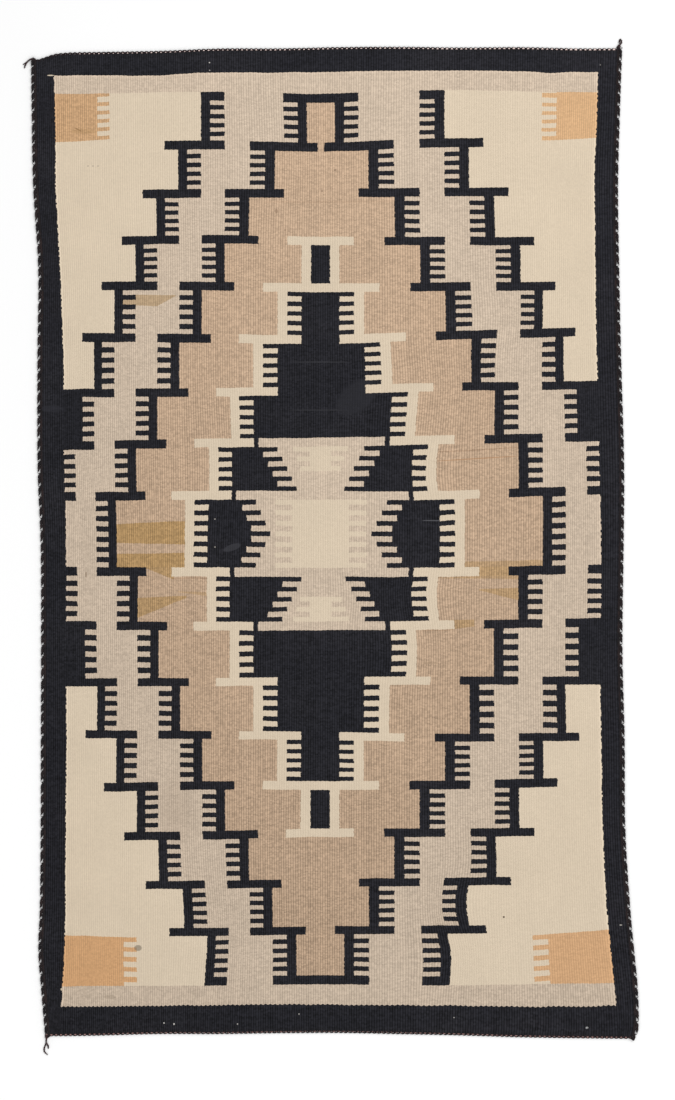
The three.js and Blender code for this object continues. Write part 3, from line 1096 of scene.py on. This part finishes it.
# A flat tree lays its strands beside a line on the floor; the other kind winds them
# about a line that turns any way.
def twistTree(name, flat):
    numbers = {**sideYarn["lengths"], **sideYarn["shares"], **plainTwist, "Side": 0, "Seed": 0}
    sockets = {number: "NodeSocketFloat" for number in numbers}
    tree, desk, given = newTree(name, {**sockets, "Sides": "NodeSocketInt"})
    line = desk.add("GeometryNodeMeshToCurve", {}, {0: given("Geometry")})
    line = desk.add("GeometryNodeResampleCurve", {"mode": "LENGTH"}, {0: line, "Length": given("Step")})
    spline = desk.add("GeometryNodeSplineParameter", {}, {})
    along = spline.out("Length")
    ahead = desk.add("GeometryNodeInputTangent", {}, {})
    if flat:
        up = desk.joined(0, 0, 1)
        outwards = desk.vector("CROSS_PRODUCT", ahead, up)
    else:
        outwards = desk.add("GeometryNodeInputNormal", {}, {})
        up = desk.vector("CROSS_PRODUCT", outwards, ahead)
    strand = given("Strand")
    taper = desk.blend(eased(desk, spline.out("Factor"), 0.7, 1.0), 1, given("Tip"))
    circle = {"Resolution": given("Sides"), "Radius": strand}
    profile = desk.add("GeometryNodeCurvePrimitiveCircle", {"mode": "RADIUS"}, circle)
    turned = desk.add("GeometryNodeSplineParameter", {}, {}).out("Factor") * (2 * math.pi)
    profile = stored(desk, profile, "roundCos", desk.maths("COSINE", turned))
    profile = stored(desk, profile, "roundSin", desk.maths("SINE", turned))
    strands = []
    shared = {"W": along * wandering["shared"] + given("Seed"), "Scale": 1.0, "Detail": 2.0}
    shared = desk.add("ShaderNodeTexNoise", {"noise_dimensions": "1D"}, shared) - 0.5
    left = desk.add("GeometryNodeSplineLength", {}, {}) - along
    atFoot = desk.maths("EXPONENT", left / -crowding["atFoot"]) * crowding["footShare"]
    crowd = atFoot - desk.maths("EXPONENT", along / -crowding["atHead"])
    for order in (0, 1):
        own = {"W": along * wandering["own"] + given("Seed") + 7.3 * order, "Scale": 1.0, "Detail": 1.0}
        own = desk.add("ShaderNodeTexNoise", {"noise_dimensions": "1D"}, own) - 0.5
        sway = (shared + own * wandering["ownShare"]) * given("Wander")
        turns = along / (given("Half Turn") * 2) + sway + crowd * given("Crowd")
        phase = desk.maths("FRACT", turns + order / 2) * 2
        goesIn = eased(desk, phase, given("Return"), given("Back"))
        comesOut = eased(desk, phase, given("Start"), given("Emerge")) & ~goesIn
        thin = eased(desk, phase, given("Thin From"), given("Return")) & ~goesIn & given("Thin")
        width = taper * (1 - thin)
        out = desk.blend(comesOut, given("In"), given("Out") + thin * strand)
        swing = desk.maths("COSINE", (phase - given("Peak")) * math.pi)
        lift = given("Middle") + given("Rise") * swing
        offset = desk.scaled(outwards, out * taper * given("Side")), desk.scaled(up, lift * taper)
        # Kept before the strand moves, since its own length grows as it winds.
        placed = stored(desk, line, "along", along)
        placed = stored(desk, placed, "width", width)
        placed = stored(desk, placed, "strand", float(order))
        placed = desk.moved(placed, desk.vector("ADD", *offset))
        tube = {0: placed, 1: profile, "Scale": named(desk, "width"), "Fill Caps": True}
        strands.append(desk.add("GeometryNodeCurveToMesh", {}, tube))

    # Each strand is itself two plies: grooves wind round it.
    whole = desk.gathered(strands)
    turned = desk.maths("ARCTAN2", named(desk, "roundSin"), named(desk, "roundCos"))
    groove = desk.maths("COSINE", turned * 2 + named(desk, "along") * (2 * math.pi) / given("Ply Turn"))
    push = desk.scaled(desk.add("GeometryNodeInputNormal", {}, {}), groove * strand * given("Ply"))
    whole = desk.moved(whole, push)
    whole = desk.add("GeometryNodeSetShadeSmooth", {}, {0: whole})
    finishTree(desk, [whole], given("Material"))
    return tree


# Loose hairs that stand off a yarn.
def fuzzTree():
    sockets = {"Density": "NodeSocketFloat", "Length": "NodeSocketFloat", "Seed": "NodeSocketInt"}
    tree, desk, given = newTree("fuzz", sockets)
    yarn = given("Geometry")
    roots = {0: yarn, "Density": given("Density"), "Seed": given("Seed")}
    roots = desk.add("GeometryNodeDistributePointsOnFaces", {"distribute_method": "RANDOM"}, roots)
    arc = {"Resolution": 4, "Radius": given("Length"), "Sweep Angle": 0.9}
    hair = desk.add("GeometryNodeCurveArc", {"mode": "RADIUS"}, arc)
    thread = {"Resolution": 3, "Radius": 0.00005}
    thread = desk.add("GeometryNodeCurvePrimitiveCircle", {"mode": "RADIUS"}, thread)
    hair = desk.add("GeometryNodeCurveToMesh", {}, {0: hair, 1: thread})
    hair = desk.moved(hair, desk.joined(given("Length") * -1, 0, 0))
    sweep = {0: (-0.9, -0.9, 0), 1: (0.9, 0.9, 2 * math.pi), "Seed": given("Seed")}
    swept = desk.add("FunctionNodeRandomValue", {"data_type": "FLOAT_VECTOR"}, sweep)
    turn = desk.add("FunctionNodeEulerToRotation", {}, {0: swept})
    turn = {0: roots.out("Rotation"), 1: turn}
    turn = desk.add("FunctionNodeRotateRotation", {"rotation_space": "LOCAL"}, turn)
    size = desk.add("FunctionNodeRandomValue", {"data_type": "FLOAT"}, {2: 0.35, 3: 1.0}, 1)
    hairs = {0: roots, "Instance": hair, "Rotation": turn, "Scale": size}
    hairs = desk.add("GeometryNodeInstanceOnPoints", {}, hairs)
    finishTree(desk, [yarn, hairs], given("Material"))
    return tree


# Small loops of the warp, along a line, that the end cord holds.
def loopTree():
    names = ["Pitch", "Radius", "Reach", "Yarn", "Height", "Lead", "Side", "From", "Growth"]
    sockets = {name: "NodeSocketFloat" for name in names}
    tree, desk, given = newTree("warpLoops", sockets)
    line = desk.add("GeometryNodeMeshToCurve", {}, {0: given("Geometry")})
    places = {0: line, "Length": given("Pitch")}
    places = desk.add("GeometryNodeResampleCurve", {"mode": "LENGTH"}, places)
    arc = {"Resolution": 7, "Radius": given("Radius"), "Sweep Angle": math.pi}
    loop = desk.add("GeometryNodeCurveArc", {"mode": "RADIUS"}, arc)
    stretch = desk.joined(1, given("Reach"))
    stretch = desk.vector("MULTIPLY", desk.pointPlace(), stretch)
    loop = desk.add("GeometryNodeSetPosition", {}, {0: loop, "Position": stretch})
    ring = {"Resolution": 6, "Radius": given("Yarn")}
    ring = desk.add("GeometryNodeCurvePrimitiveCircle", {"mode": "RADIUS"}, ring)
    loop = desk.add("GeometryNodeCurveToMesh", {}, {0: loop, 1: ring})
    loop = desk.add("GeometryNodeSetShadeSmooth", {}, {0: loop})
    lead = desk.joined(0, given("Lead") * given("Side"), given("Height"))
    points = desk.moved(places, lead)
    size = {2: 0.75, 3: 1.1, "Seed": 5}
    across = desk.split(desk.pointPlace())
    size = desk.add("FunctionNodeRandomValue", {"data_type": "FLOAT"}, size, 1)
    size = size * (1 + across * given("Growth"))
    loops = {0: points, "Selection": across > given("From"), "Instance": loop}
    loops["Scale"] = desk.joined(size, size * given("Side"), 1)
    loops = desk.add("GeometryNodeInstanceOnPoints", {}, loops)
    finishTree(desk, [loops], given("Material"))
    return tree


def yarnWool(name, colour, second):
    material, desk = newMaterial(name)
    along = desk.add("ShaderNodeAttribute", {"attribute_name": "along"}, {}).out("Fac")
    strand = desk.add("ShaderNodeAttribute", {"attribute_name": "strand"}, {}).out("Fac")
    place = desk.joined(along * 40, strand * 5)
    share = desk.add("ShaderNodeTexNoise", {}, {"Vector": place, "Scale": 1.0, "Detail": 2.0})
    tone = paint(desk, dyed(*colour), dyed(*second), (share - 0.42) * 5)
    place = desk.objectPlace()
    hair = desk.add("ShaderNodeTexNoise", {}, {"Vector": place, "Scale": 1400, "Detail": 3.0})
    normal = desk.add("ShaderNodeBump", {}, {"Strength": 1.0, "Distance": 0.0003, "Height": hair})
    finishWool(desk, desk.scaled(tone, 0.8 + hair * 0.4), normal)
    return material


# An object of lines only, for a tree to grow a yarn along.
def carrier(name, lines, shift):
    points = []
    edges = []
    for line in lines:
        edges += [(len(points) + i, len(points) + i + 1) for i in range(len(line) - 1)]
        for x, y, z in line:
            points.append(((x + shift[0]) * millimetre, (y + shift[1]) * millimetre, z * millimetre))
    return makeMesh(name, points, edges, [])


def grow(item, tree, inputs):
    modifier = item.modifiers.new(tree.name, "NODES")
    modifier.node_group = tree
    for socket in tree.interface.items_tree:
        if socket.in_out == "INPUT" and socket.name in inputs:
            modifier[socket.identifier] = inputs[socket.name]


# The grown mesh takes the place of the lines.
def settled(item):
    shown = item.evaluated_get(bpy.context.evaluated_depsgraph_get())
    mesh = bpy.data.meshes.new_from_object(shown)
    mesh.name = item.name
    item.modifiers.clear()
    item.data = mesh
    return item


trees = {
    "laid": twistTree("laidTwist", True),
    "winding": twistTree("windingTwist", False),
    "fuzz": fuzzTree(),
    "loops": loopTree(),
}


def makeYarn(name, lines, yarn, kind, side, seed, material, shift):
    item = carrier(name, lines, shift)
    inputs = {key: length * millimetre for key, length in yarn["lengths"].items()}
    inputs |= {**plainTwist, **yarn["shares"], "Sides": yarn["sides"]}
    inputs |= {"Side": float(side), "Seed": float(seed), "Material": material}
    grow(item, trees[kind], inputs)
    grow(item, trees["fuzz"], yarn["fuzz"] | {"Seed": seed, "Material": material})
    return settled(item)


def adopt(piece, node):
    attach(piece, "root")
    if node:
        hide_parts(node)
    print(piece.name, "made:", len(piece.data.polygons), "faces")


rug, shift = makeCloth()
rug.data.materials.append(tapestryWool(shift))
adopt(rug, "rug_cloth")

# Yarn ends left at the corners. Places are in millimetres from the knot, heights from the floor.
ties = {
    "tieTopLeft": {
        "side": "left",
        "end": "top",
        "node": "tie_top_left",
        "knot": (3.4, 1.6),
        "heading": 200,  # degrees, of the knot's windings
        "legs": [
            [(0, 0, 2.2), (-3.5, 0.2, 3.0), (-6.5, -1.2, 2.2), (-11, -5, 1.2), (-16, -7.5, 1.2)],
            [(-9.5, -3.8, 2.6), (-12.2, -8.5, 1.3), (-13.8, -13.5, 1.2)],
        ],
    },
    "tieTopRight": {
        "side": "right",
        "end": "top",
        "node": "tie_top_right",
        "knot": (-5.4, 1.6),
        "heading": 60,
        "legs": [[(0, 0, 2.2), (1.6, 2.8, 2.6), (2.3, 4.6, 2.4)]],
        "loop": {"x": 2.6, "y": 7.8, "across": 1.7, "along": 3.3},
    },
    "tieBottomLeft": {
        "side": "left",
        "end": "bottom",
        "node": "tie_bottom_left",
        "knot": (2.4, -0.4),
        "heading": 265,
        "legs": [
            [
                (0, 0, 2.2),
                (-0.8, -6.5, 2.0),
                (-1.2, -11.5, 1.2),
                (-3.8, -18, 1.2),
                (-3.2, -24, 1.2),
                (1.5, -28.5, 1.2),
            ],
            [(-1, -9.5, 2.4), (2, -14.5, 1.4), (2.3, -19.5, 1.2)],
        ],
    },
}
knotShape = {"turns": 2.6, "pitch": 1.9, "across": 2.0, "rise": 1.05, "height": 2.2}


def knotPlace(tie):
    x, y = cornerOf(tie["side"], tie["end"], 0, 0)
    return x + tie["knot"][0], y + tie["knot"][1]


# A smooth line through a few points.
def smoothLine(points, steps=8):
    points = np.array(points, float)
    rows = [{"at": i, "x": p[0], "y": p[1], "z": p[2]} for i, p in enumerate(points)]
    at = np.linspace(0, len(rows) - 1, (len(rows) - 1) * steps + 1)
    return list(zip(*(smoothColumn(rows, "at", axis, at) for axis in "xyz")))


def tieLines(tie):
    x, y = knotPlace(tie)
    lines = [smoothLine([(x + a, y + b, c) for a, b, c in leg]) for leg in tie["legs"]]
    ahead = math.radians(tie["heading"])
    winding = []
    for t in np.linspace(-knotShape["turns"] / 2, knotShape["turns"] / 2, 60):
        onward = t * knotShape["pitch"]
        beside = knotShape["across"] * math.cos(2 * math.pi * t)
        winding.append(
            (
                x + onward * math.cos(ahead) - beside * math.sin(ahead),
                y + onward * math.sin(ahead) + beside * math.cos(ahead),
                knotShape["height"] + knotShape["rise"] * math.sin(2 * math.pi * t),
            )
        )
    lines.append(winding)
    if "loop" in tie:
        ring = tie["loop"]
        turns = np.linspace(-0.55, 1.55, 40) * math.pi - 0.2
        lines.append(
            [
                (
                    x + ring["x"] + ring["across"] * math.cos(a),
                    y + ring["y"] + ring["along"] * math.sin(a),
                    1.3 + 1.1 * i / 39,
                )
                for i, a in enumerate(turns)
            ]
        )
    return lines


tieWool = yarnWool("tieWool", **tieYarn["look"])
corners = {}
for seed, (name, tie) in enumerate(ties.items()):
    corners[tie["side"], tie["end"]] = knotPlace(tie)
    piece = makeYarn(name, tieLines(tie), tieYarn, "winding", 1, seed, tieWool, shift)
    adopt(piece, tie["node"])

# Two-strand cords along the sides, which the wefts turn round, and finer ones at the ends.
sideWool = yarnWool("sideCordWool", **sideYarn["look"])
for side, way, crowd in (("left", 1, 0.9), ("right", -1, 0.0)):
    tops = [corners.get((side, end)) or cornerOf(side, end, 2.6, 0) for end in ("top", "bottom")]
    heights = np.linspace(tops[0][1], tops[1][1], 220)
    line = [(sideX(side, y, cloth["sideInset"]), y, 0) for y in heights]
    wound = sideYarn | {"shares": sideYarn["shares"] | {"Crowd": crowd}}
    piece = makeYarn("cord" + side.title(), [line], wound, "laid", way, 11 + way, sideWool, shift)
    adopt(piece, "cord_" + side)

endWool = yarnWool("endCordWool", **endYarn["look"])
loopInputs = {"Radius": 0.0009, "Reach": 1.6, "Yarn": 0.00068, "Height": 0.0026, "Lead": 0.0004}
loopSpread = {"top": {"From": -0.39, "Growth": 0.8}, "bottom": {"From": -1.0, "Growth": 0.0}}
loopWools = {
    "top": yarnWool("warpWoolTop", (250, 236, 230), (206, 172, 164)),
    "bottom": yarnWool("warpWoolBottom", (190, 152, 146), (112, 80, 78)),
}
for end, way in (("top", -1), ("bottom", 1)):
    tops = [corners.get((side, end)) or cornerOf(side, end, 5.5, 0) for side in ("left", "right")]
    line = [(x, endY(end, x, cloth["endInset"]), 0) for x in np.linspace(tops[0][0], tops[1][0], 220)]
    reach = sum(math.dist(a, b) for a, b in zip(line, line[1:]))
    halfTurn = reach / round(reach / endYarn["lengths"]["Half Turn"])  # a whole number of eyes
    fitted = endYarn | {"lengths": endYarn["lengths"] | {"Half Turn": halfTurn}}
    piece = makeYarn("cord" + end.title(), [line], fitted, "laid", way, 21 + way, endWool, shift)
    adopt(piece, "cord_" + end)
    loops = carrier("warpLoops" + end.title(), [line], shift)
    looped = {"Side": float(-way), "Pitch": halfTurn * millimetre, "Material": loopWools[end]}
    grow(loops, trees["loops"], loopInputs | looped | loopSpread[end])
    adopt(settled(loops), None)
